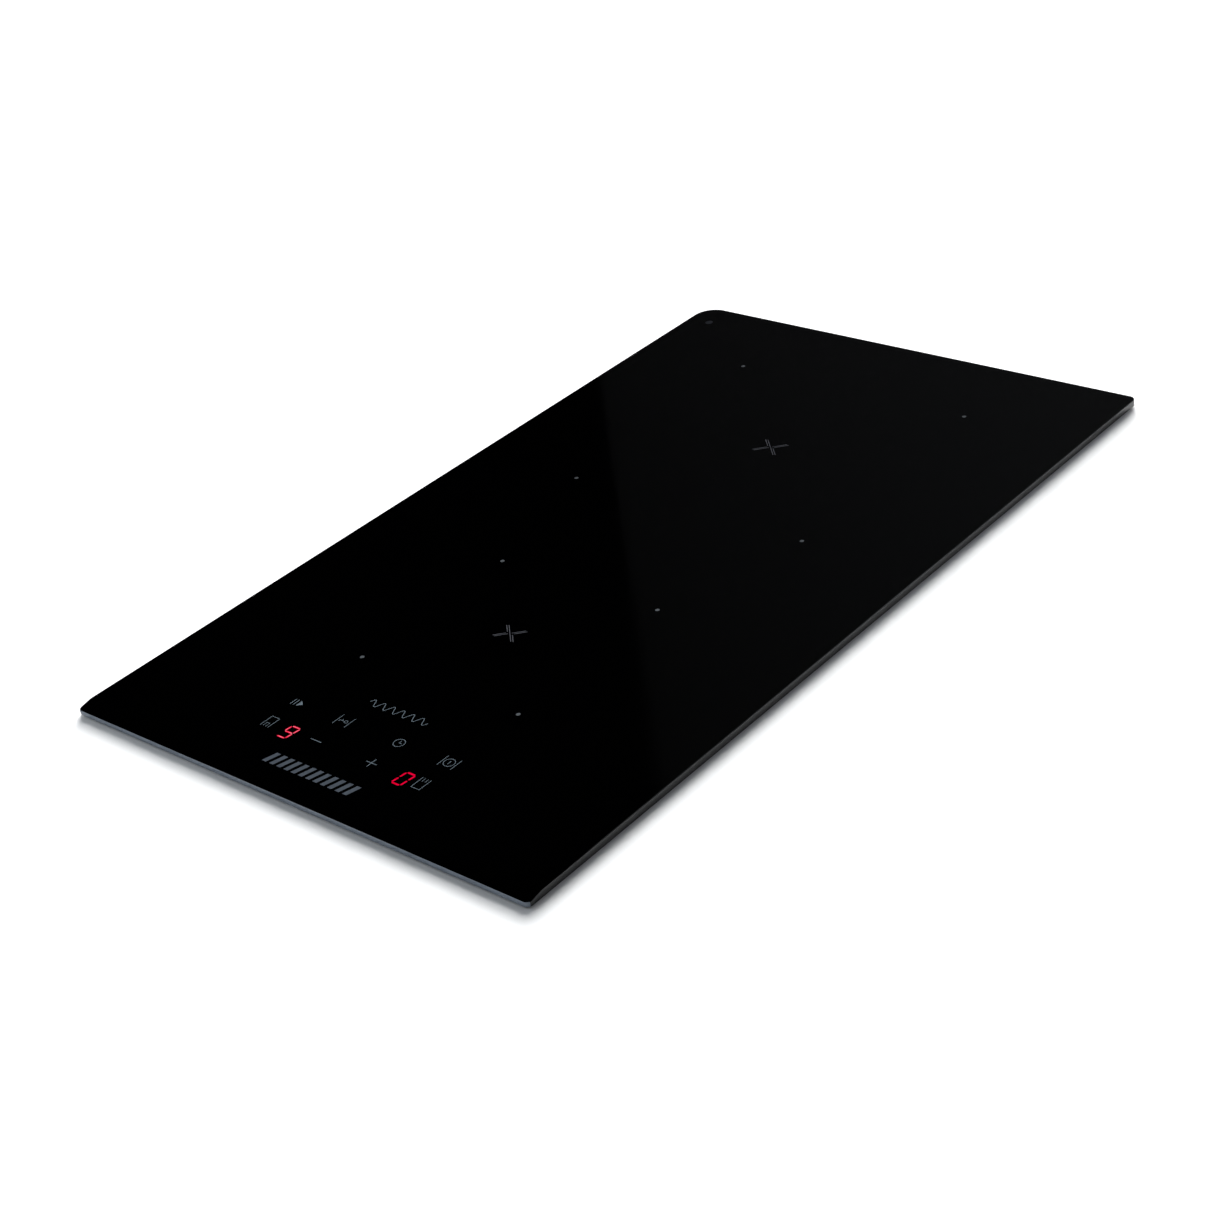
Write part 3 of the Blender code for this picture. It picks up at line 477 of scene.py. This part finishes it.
def draw_lock(build):
    """A small key between two upright lines."""
    for x in (-22.9, -15.0):
        printed_line(build, [(x, -200.9), (x, -192.8)])
    y = KEY_ROW_BACK
    printed_line(build, [(-21.4, y - 1.1), (-21.4, y), (-18.4, y)])
    printed_line(build, [(-20.1, y + 0.3), (-20.1, y + 1.0)])
    printed_line(build, ring_points((-17.4, y), 0.95, 24), 0.3, closed=True)


def draw_clock(build):
    x, y = 18.2, KEY_ROW_BACK
    printed_line(build, ring_points((x, y), 2.95), closed=True)
    printed_line(build, [(x, y + 1.8), (x, y), (x + 1.7, y)], 0.3)


def draw_power(build):
    x, y = 50.5, KEY_ROW_BACK
    for side in (-4.2, 4.2):
        printed_line(build, [(x + side, y - 4.0), (x + side, y + 4.0)])
    printed_line(build, ring_points((x, y), 2.9), closed=True)
    printed_line(build, [(x, y - 1.3), (x, y + 1.3)], 0.4)


def draw_rear_select(build):
    """A pan sign that opens to the front."""
    printed_line(build, [(-53.7, -219.4), (-53.7, -211.3), (-48.5, -211.3), (-48.5, -219.4)])
    printed_line(build, [(-52.0, -219.2), (-52.0, -216.4), (-50.2, -216.4), (-50.2, -219.2)], THIN_LINE)


def draw_front_select(build):
    """A pan sign that opens to the back."""
    printed_line(build, [(47.8, -211.5), (47.8, -219.7), (53.0, -219.7), (53.0, -211.5)])
    for x in (49.5, 51.3):
        printed_line(build, [(x, -211.7), (x, -214.3)], THIN_LINE)


def draw_minus(build):
    printed_line(build, [(-22.5, KEY_ROW_FRONT), (-15.6, KEY_ROW_FRONT)], 0.4)


def draw_plus(build):
    x, y, arm, half = 18.1, KEY_ROW_FRONT, 3.3, 0.2
    corners = []
    for quarter in range(4):
        turn = Matrix.Rotation(math.pi / 2 * quarter, 2)
        for point in ((half, half), (half, arm), (-half, arm)):
            corner = turn @ Vector(point)
            corners.append((x + corner.x, y + corner.y))
    printed_area(build, corners)


def draw_wave(build):
    """A plain row of waves."""
    waves, steps = 6, 20
    left, length, middle, swing = -19.5, 38.6, -178.5, 2.4
    points = []
    for i in range(waves * steps + 1):
        turn = i / steps
        points.append((left + length * turn / waves, middle + swing * math.sin(math.tau * turn)))
    printed_line(build, points, 0.36)


def draw_bars(build):
    """A plain row of slanted bars along the front edge."""
    count, left, right, low, high, lean = 12, -30.5, 28.2, -239.8, -231.9, 2.2
    pitch = (right - left) / count
    wide = pitch * 0.56
    for i in range(count):
        x = left + i * pitch
        printed_area(build, [(x, low), (x + wide, low), (x + wide + lean, high), (x + lean, high)])


SEGMENTS = {"9": "abcdfg", "0": "abcdef"}


def draw_digit(middle_x, digit, thick, top):
    """A leaning seven-segment digit, each segment a bar with pointed ends."""
    border, half, lean, gap = 0.5, 2.75, 0.13, 0.28
    low, high = READOUT_LOW + border, READOUT_HIGH - border
    centre = (low + high) / 2
    ends = {
        "a": ((-half, high), (half, high)), "g": ((-half, centre), (half, centre)),
        "d": ((-half, low), (half, low)),
        "f": ((-half, centre), (-half, high)), "b": ((half, centre), (half, high)),
        "e": ((-half, low), (-half, centre)), "c": ((half, low), (half, centre)),
    }

    def draw(build):
        for segment in SEGMENTS[digit]:
            start, end = (Vector(point) for point in ends[segment])
            along = (end - start).normalized()
            side = Vector((-along.y, along.x)) * thick / 2
            start, end = start + along * gap, end - along * gap
            nib = along * thick / 2
            outline = [start, start + nib - side, end - nib - side, end, end - nib + side, start + nib + side]
            add_plate(build, [(middle_x + p.x + lean * (p.y - centre), p.y) for p in outline], PRINT_LOW, top)

    return draw


def printed_marks():
    ink = ink_material("key_print", (0.085, 0.108, 0.125), (0.120, 0.150, 0.175))
    for zone, (centre_y, reach, arm) in ZONES.items():
        # Painted shade: the rear zone's cross and dots are the same print as the front's, made darker by a
        # factor of 0.75.
        strength = {"rear": 0.75, "front": 1.0}[zone]
        cross = ink_material(f"{zone}_cross_print", (0.045 * strength, 0.047 * strength, 0.055 * strength),
                             (0.085 * strength, 0.088 * strength, 0.100 * strength))
        dot = ink_material(f"{zone}_dot_print", (0.050 * strength, 0.056 * strength, 0.060 * strength),
                           (0.080 * strength, 0.090 * strength, 0.098 * strength))
        print_piece(f"{zone}_zone_cross", cross, draw_cross(centre_y, arm))
        for side_x in (-1, 1):
            for side_y, row in ((-1, "front"), (1, "back")):
                column = "left" if side_x < 0 else "right"
                print_piece(f"{zone}_zone_dot_{row}_{column}", dot,
                            draw_dot(side_x * reach, centre_y + side_y * reach))
    symbols = {
        "pause": draw_pause, "lock": draw_lock, "timer": draw_clock, "power": draw_power,
        "rear_zone": draw_rear_select, "front_zone": draw_front_select,
        "minus": draw_minus, "plus": draw_plus,
    }
    for key, draw in symbols.items():
        print_piece(f"symbol_{key}", ink, draw)
    print_piece("wave_mark", ink, draw_wave)
    bars = ink_material("bar_print", (0.044, 0.053, 0.066), (0.058, 0.069, 0.085))
    print_piece("bar_mark", bars, draw_bars)
    spot = ink_material("corner_spot_print", (0.0060, 0.0070, 0.0090), (0.0095, 0.0108, 0.0135))
    print_piece("corner_spot", spot, draw_dot(-134.3, 236.4, 2.3, 32))


def readout_digits():
    """Each lit segment has a red body, and on the hotter rear digit a thin pale core."""
    glow = {
        "rear": glow_material("rear_digit_glow", (0.80, 0.004, 0.040), (0.95, 0.010, 0.070)),
        "front": glow_material("front_digit_glow", (0.72, 0.0006, 0.026), (0.90, 0.0012, 0.048)),
    }
    body_width, core_width = 1.0, 0.24
    for zone, (x, digit) in READOUTS.items():
        made = print_piece(f"{zone}_zone_digit", glow[zone], draw_digit(x, digit, body_width, PRINT_HIGH))
    core = glow_material("rear_digit_core", (1.0, 0.04, 0.11), (1.0, 0.42, 0.50))
    x, digit = READOUTS["rear"]
    made = print_piece("rear_zone_digit_core", core, draw_digit(x, digit, core_width, PRINT_HIGH + INK))


# ---------------------------------------------------------------- pieces under the glass

def coil_windings(looks):
    """Each winding is a flat spiral of one stranded wire, laid turn against turn."""
    for zone in ("rear", "front"):
        node = f"{zone}_coil_winding"
        low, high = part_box(node)
        centre = (low + high) / 2
        outer = (high.x - low.x) / 2
        inner, wire, gap = 24 * MM, 1.45 * MM, 0.1 * MM
        pitch = 2 * wire + gap
        turns = (outer - inner - 2 * wire) / pitch
        steps = 56
        route = []
        for i in range(int(turns * steps) + 1):
            angle = math.tau * i / steps
            radius = inner + wire + pitch * i / steps
            x, y = centre.x + radius * math.cos(angle), centre.y + radius * math.sin(angle)
            route.append(Vector((x, y, centre.z)))
        build = bmesh.new()
        add_tube(build, route, wire, 8)
        coil = finish_piece(f"{zone}_coil_spiral", build, looks["copper"], smooth=60)
        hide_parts(node)


def touch_springs(looks):
    """Each touch spring is a widening helix of thin wire with a flat top turn under the glass."""
    for node in sorted(frame["nodes"]):
        if not node.startswith("touch_spring_"):
            continue
        low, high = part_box(node)
        centre = (low + high) / 2
        wire, turns, steps = 0.28 * MM, 6.5, 20
        foot_share, rising_share = 0.12, 0.74  # shares of the wire in the flat foot turn and in the helix
        foot_radius, widening = 3.2, 1.4
        route = []
        count = int(turns * steps)
        for i in range(count + 1):
            share = i / count
            rise = min(1.0, max(0.0, (share - foot_share) / rising_share))
            radius = (foot_radius + widening * share) * MM
            angle = math.tau * turns * share
            height = low.z + wire + (high.z - low.z - 2 * wire) * rise
            x, y = centre.x + radius * math.cos(angle), centre.y + radius * math.sin(angle)
            route.append(Vector((x, y, height)))
        build = bmesh.new()
        add_tube(build, route, wire, 6)
        spring = finish_piece(f"{node}_wire", build, looks["zinc_steel"], smooth=60)
        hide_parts(node)


def mains_choke(looks):
    """A ferrite ring inside twenty separate loops of wire."""
    low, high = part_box("mains_choke")
    centre = (low + high) / 2
    outer, inner, height = (high.x - low.x) / 2, 8 * MM, high.z - low.z
    wire, gap, loops, sides = 0.8 * MM, 0.1 * MM, 20, 6
    cover = 2 * wire + gap
    build = bmesh.new()
    add_turned(build, (centre.x, centre.y, low.z),
               [(inner + cover, cover), (outer - cover, cover),
                (outer - cover, height - cover), (inner + cover, height - cover)])
    core = finish_piece("choke_core", build, looks["ferrite"], smooth=40)
    build = bmesh.new()
    for i in range(loops):
        angle = math.tau * i / loops
        out = Vector((math.cos(angle), math.sin(angle), 0.0))
        a, b = inner + wire, outer - wire
        bottom, top = low.z + wire, high.z - wire
        corners = [(a, bottom), (b, bottom), (b, top), (a, top)]
        rings = []
        for radius, z in corners:
            inward = Vector((((a + b) / 2 - radius), 0, ((bottom + top) / 2 - z)))
            mitre = Vector((math.copysign(wire, inward.x), 0, math.copysign(wire, inward.z)))
            ring = []
            for s in range(sides):
                turn = math.tau * s / sides
                radial = radius + mitre.x * math.cos(turn)
                level = z + mitre.z * math.cos(turn)
                across = Vector((-out.y, out.x, 0.0)) * wire * math.sin(turn)
                ring.append(Vector((centre.x, centre.y, 0)) + out * radial + Vector((0, 0, level)) + across)
            rings.append(ring)
        add_ring_stack(build, rings, closed=True)
    finish_piece("choke_wire", build, looks["copper"], smooth=60)
    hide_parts("mains_choke")


def ribbon(looks):
    """The ribbon keeps its solid's route, with a ridge for each of its conductors."""
    low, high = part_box("control_ribbon")
    thick, conductors = 1.0 * MM, 12
    ridge, groove = 0.9, 0.45  # shares of the half thickness at and between the conductors
    foot_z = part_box("power_board")[1].z + 0.3 * MM
    run_z = 8.5 * MM + thick / 2
    bend, bend_steps, fold = 4 * MM, 6, 0.6 * MM
    route = [(low.y + thick / 2, high.z)] + [
        (low.y + thick / 2 + bend * (1 - math.cos(a)), run_z + bend * (1 - math.sin(a)))
        for a in (math.pi / 2 * i / bend_steps for i in range(bend_steps + 1))
    ]
    bend_y = high.y - thick / 2
    route += [(bend_y - fold, run_z), (bend_y, run_z - fold), (bend_y, foot_z)]
    build = bmesh.new()
    pitch = (high.x - low.x) / conductors
    rings = []
    for i, (y, z) in enumerate(route):
        y0, z0 = route[max(i - 1, 0)]
        y1, z1 = route[min(i + 1, len(route) - 1)]
        normal = Vector((-(z1 - z0), y1 - y0)).normalized()
        section = []
        for side in (1, -1):
            for k in range(2 * conductors + 1):
                step = k if side == 1 else 2 * conductors - k
                bulge = thick / 2 * (ridge if step % 2 else groove)
                section.append(Vector((low.x + pitch / 2 * step, y + side * normal.x * bulge,
                                       z + side * normal.y * bulge)))
        rings.append(section)
    add_ring_stack(build, rings)
    made = finish_piece("ribbon_cable", build, looks["ribbon"], smooth=50)
    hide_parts("control_ribbon")


def terminal_screws():
    """A brass screw in each well of the terminal block."""
    low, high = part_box("terminal_block")
    middle = (low.x + high.x) / 2
    brass = surface("brass_screw", (0.52, 0.34, 0.10), (0.72, 0.52, 0.20), (0.25, 0.4), 1.0, scale=300.0)
    pitch, depth, height = 11 * MM, 6.9 * MM, 18 * MM
    core, head, face, side, tall = 0.05 * MM, 2.2 * MM, 1.6 * MM, 1.0 * MM, 1.5 * MM
    build = bmesh.new()
    for i in range(-2, 3):
        add_turned(build, (middle + i * pitch, high.y - depth, height),
                   [(core, 0.0), (head, 0.0), (head, side), (face, tall), (core, tall)], 20, axis="Y")
    finish_piece("terminal_screws", build, brass, smooth=35)


def board_parts(looks):
    """Small chips and resistors on both boards, in rows. On the power board every third one is larger."""
    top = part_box("power_board")[1].z
    small, large = (6.4, 4.0, 1.8), (9.0, 7.0, 2.6)
    build = bmesh.new()
    for row in range(5):
        for column in range(6):
            x, y = (-86 + 24 * column) * MM, (-112 + 11 * row) * MM
            long, wide, tall = small if (row + column) % 3 else large
            add_block(build, (x, y, top + SOLDER), (x + long * MM, y + wide * MM, top + tall * MM), 0.25 * MM)
    finish_piece("power_board_parts", build, looks["black_plastic"])
    control_low, control_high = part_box("control_board")
    front, back, long, tall = 33.5 * MM, 36.5 * MM, 4.0 * MM, 1.1 * MM
    build = bmesh.new()
    for i in range(9):
        x = (-60 + 13.2 * i) * MM
        add_block(build, (x, control_low.y + front, control_high.z + SOLDER),
                  (x + long, control_low.y + back, control_high.z + tall), 0.2 * MM)
    finish_piece("control_board_parts", build, looks["black_plastic"])


def casing_screws(looks):
    """Countersunk screws along the underside, which hold the boards and the coil plate."""
    places = [(x, y) for x in (-92, 99) for y in (-122, 104)] + [(x, -205.5) for x in (-66, 66)]
    build = bmesh.new()
    for x, y in places:
        add_turned(build, (x * MM, y * MM, 0.0),
                   [(0.7 * MM, 0.05 * MM), (0.9 * MM, 0.9 * MM), (0.9 * MM, 1.0 * MM), (3.2 * MM, 1.0 * MM),
                    (3.2 * MM, 0.02 * MM), (1.6 * MM, 0.0)], 24)
    finish_piece("casing_screws", build, looks["zinc_steel"], smooth=35)


def cad_materials(looks):
    """Gives each CAD node the finish of its material slot."""
    slots = {entry["node"]: entry["material_slot"] for entry in frame["record"]["subparts"]}
    for name, node in frame["nodes"].items():
        for place in node.material_slots:
            place.material = looks[slots[name]]


# ---------------------------------------------------------------- studio

WORKTOP_Z = GLASS_LOW.z - 0.8 * MM
OVERHANG = 72 * MM  # how far the worktop reaches beyond the glass in front and to the right
MARGIN = 18 * MM  # how far it reaches beyond the glass at its other two ends
FLOOR_REACH = 6.0
FLOOR_Z = -0.2 * MM
SEAL_GAP = 0.3 * MM


def stage_material(name, colour, glow):
    made, _, shader = new_material(name, 0.9)
    shader.inputs["Base Color"].default_value = (colour, colour, colour, 1.0)
    shader.inputs["Emission Color"].default_value = (1.0, 1.0, 1.0, 1.0)
    shader.inputs["Emission Strength"].default_value = glow
    shader.inputs["Specular IOR Level"].default_value = 0.0
    return made


def stage_mesh(name, points, faces, look):
    mesh = bpy.data.meshes.new(name)
    mesh.from_pydata(points, [], faces)
    mesh.materials.append(look)
    made = bpy.data.objects.new(name, mesh)
    bpy.context.scene.collection.objects.link(made)
    return made


def floor_and_worktop():
    """A pale floor under the casing, and a thin pale worktop that shows only in front and to the right."""
    floor = [(x * FLOOR_REACH, y * FLOOR_REACH, FLOOR_Z) for x, y in ((-1, -1), (1, -1), (1, 1), (-1, 1))]
    stage_mesh("floor", floor, [(0, 1, 2, 3)],
               stage_material("floor_white", 0.5, 0.75))
    seal_low, seal_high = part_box("worktop_seal")
    inner_x, inner_y = seal_high.x + SEAL_GAP, seal_low.y - SEAL_GAP
    left, back = GLASS_LOW.x - MARGIN, GLASS_HIGH.y + MARGIN
    right, front = GLASS_HIGH.x + OVERHANG, GLASS_LOW.y - OVERHANG
    points = [(left, front), (right, front), (right, back), (inner_x, back), (inner_x, inner_y),
              (left, inner_y)]
    worktop = stage_mesh("worktop", [(x, y, WORKTOP_Z) for x, y in points], [(0, 1, 4, 5), (1, 2, 3, 4)],
                         stage_material("worktop_white", 0.9, 0.0))
    worktop.visible_shadow = False
    return worktop


def mirror_card():
    """A dim card at the back, brighter to the right, which only the polished glass mirrors."""
    made, tree, shader = new_material("card_glow", 1.0)
    shader.inputs["Base Color"].default_value = (0.0, 0.0, 0.0, 1.0)
    place = tree.nodes.new("ShaderNodeTexCoord")
    split = tree.nodes.new("ShaderNodeSeparateXYZ")
    link(tree, place, "Object", split, "Vector")
    glow = tree.nodes.new("ShaderNodeMapRange")
    glow.inputs["From Min"].default_value = 0.0
    glow.inputs["From Max"].default_value = 1.5
    glow.inputs["To Min"].default_value = 0.005
    glow.inputs["To Max"].default_value = 0.060
    link(tree, split, "X", glow, "Value")
    shader.inputs["Emission Color"].default_value = (0.88, 0.93, 1.0, 1.0)
    link(tree, glow, "Result", shader, "Emission Strength")
    start, end = Vector((-1.355, 1.415, 0.0)), Vector((0.30, 2.40, 0.0))
    length = (end - start).length
    card = stage_mesh("mirror_card", [(0, 0, 0.3), (length, 0, 0.3), (length, 0, 2.6), (0, 0, 2.6)],
                      [(0, 1, 2, 3)], made)
    card.location = start
    card.rotation_euler = (0.0, 0.0, math.atan2(end.y - start.y, end.x - start.x))
    card.visible_camera = card.visible_diffuse = card.visible_shadow = False


def direction(azimuth, elevation):
    """The unit vector from the object towards an azimuth and elevation in degrees. Azimuth 0 is the front."""
    a, e = math.radians(azimuth), math.radians(elevation)
    return Vector((math.sin(a) * math.cos(e), -math.cos(a) * math.cos(e), math.sin(e)))


def sun(name, strength, azimuth, elevation, angle):
    lamp = bpy.data.lights.new(name, "SUN")
    lamp.energy = strength
    lamp.angle = math.radians(angle)
    made = bpy.data.objects.new(name, lamp)
    bpy.context.scene.collection.objects.link(made)
    made.rotation_euler = direction(azimuth, elevation).to_track_quat("Z", "Y").to_euler()
    return made


def softbox(name, power, size, azimuth, elevation, distance):
    """A soft bluish panel that faces the object and glints in its polished edges."""
    lamp = bpy.data.lights.new(name, "AREA")
    lamp.energy = power
    lamp.color = (0.86, 0.93, 1.0)
    lamp.size = size
    made = bpy.data.objects.new(name, lamp)
    bpy.context.scene.collection.objects.link(made)
    back = direction(azimuth, elevation)
    made.location = back * distance
    made.rotation_euler = back.to_track_quat("Z", "Y").to_euler()


def light_only(lamp, name, objects, state):
    """Makes a lamp light only these objects, or all but them."""
    group = bpy.data.collections.new(name)
    for made in objects:
        group.objects.link(made)
    for member in group.collection_objects:
        member.light_linking.link_state = state
    lamp.light_linking.receiver_collection = group


def lights(worktop):
    """A broad key light for the object, and two low ones behind it that draw its shadow on the worktop."""
    key = sun("key", 4.2, 215, 50, 20)
    low = sun("low_key", 14.2, 210, 5, 35)
    middle = sun("middle_key", 6.9, 210, 19, 49)
    light_only(key, "not_the_worktop", [worktop], "EXCLUDE")
    for lamp in (low, middle):
        light_only(lamp, "the_worktop", [worktop], "INCLUDE")
    for lamp in (key, low, middle):
        lamp.visible_glossy = False
    softbox("left_panel", 6.5, 0.9, -50, 37, 1.8)
    softbox("right_panel", 2.1, 0.9, 140, 37, 1.8)


def world():
    """White where the camera looks past the floor. Other rays meet a pale horizon below a dim sky."""
    made = bpy.data.worlds.new("studio")
    made.use_nodes = True
    tree = made.node_tree
    background = tree.nodes["Background"]
    background.inputs["Color"].default_value = (0.93, 0.96, 1.0, 1.0)
    path = tree.nodes.new("ShaderNodeLightPath")
    place = tree.nodes.new("ShaderNodeTexCoord")
    split = tree.nodes.new("ShaderNodeSeparateXYZ")
    link(tree, place, "Generated", split, "Vector")
    horizon = tree.nodes.new("ShaderNodeMapRange")
    for name, value in (("From Min", 0.12), ("From Max", 0.30), ("To Min", 0.9), ("To Max", 0.0)):
        horizon.inputs[name].default_value = value
    link(tree, split, "Z", horizon, "Value")
    sky = tree.nodes.new("ShaderNodeMath")
    sky.operation = "MULTIPLY_ADD"
    link(tree, path, "Is Diffuse Ray", sky, 0)
    sky.inputs[1].default_value = 0.105
    link(tree, horizon, "Result", sky, 2)
    total = tree.nodes.new("ShaderNodeMath")
    total.operation = "ADD"
    link(tree, path, "Is Camera Ray", total, 0)
    link(tree, sky, "Value", total, 1)
    link(tree, total, "Value", background, "Strength")
    bpy.context.scene.world = made


def camera():
    """The main view: from the front right, above, with the camera rolled a little."""
    azimuth, elevation, roll = 44.344, 30.610, -8.703
    distance, target = 1.16285, Vector((0.027612, -0.056585, GLASS_TOP))
    focal_in_widths = 1.92011
    lens = bpy.data.cameras.new("main_camera")
    lens.sensor_width = 36.0
    lens.lens = focal_in_widths * lens.sensor_width
    lens.clip_start, lens.clip_end = 0.01, 50.0
    made = bpy.data.objects.new("main_camera", lens)
    bpy.context.scene.collection.objects.link(made)
    back = direction(azimuth, elevation)
    made.location = target + back * distance
    level = (-back).to_track_quat("-Z", "Y")
    made.rotation_mode = "QUATERNION"
    made.rotation_quaternion = level @ Matrix.Rotation(math.radians(roll), 4, "Z").to_quaternion()
    bpy.context.scene.camera = made


def main():
    bpy.context.scene.view_settings.view_transform = "Standard"
    camera()
    worktop = floor_and_worktop()
    mirror_card()
    lights(worktop)
    world()
    looks = make_materials()
    cad_materials(looks)
    glass_plate(looks)
    printed_marks()
    readout_digits()
    coil_windings(looks)
    touch_springs(looks)
    mains_choke(looks)
    ribbon(looks)
    terminal_screws()
    board_parts(looks)
    casing_screws(looks)


main()
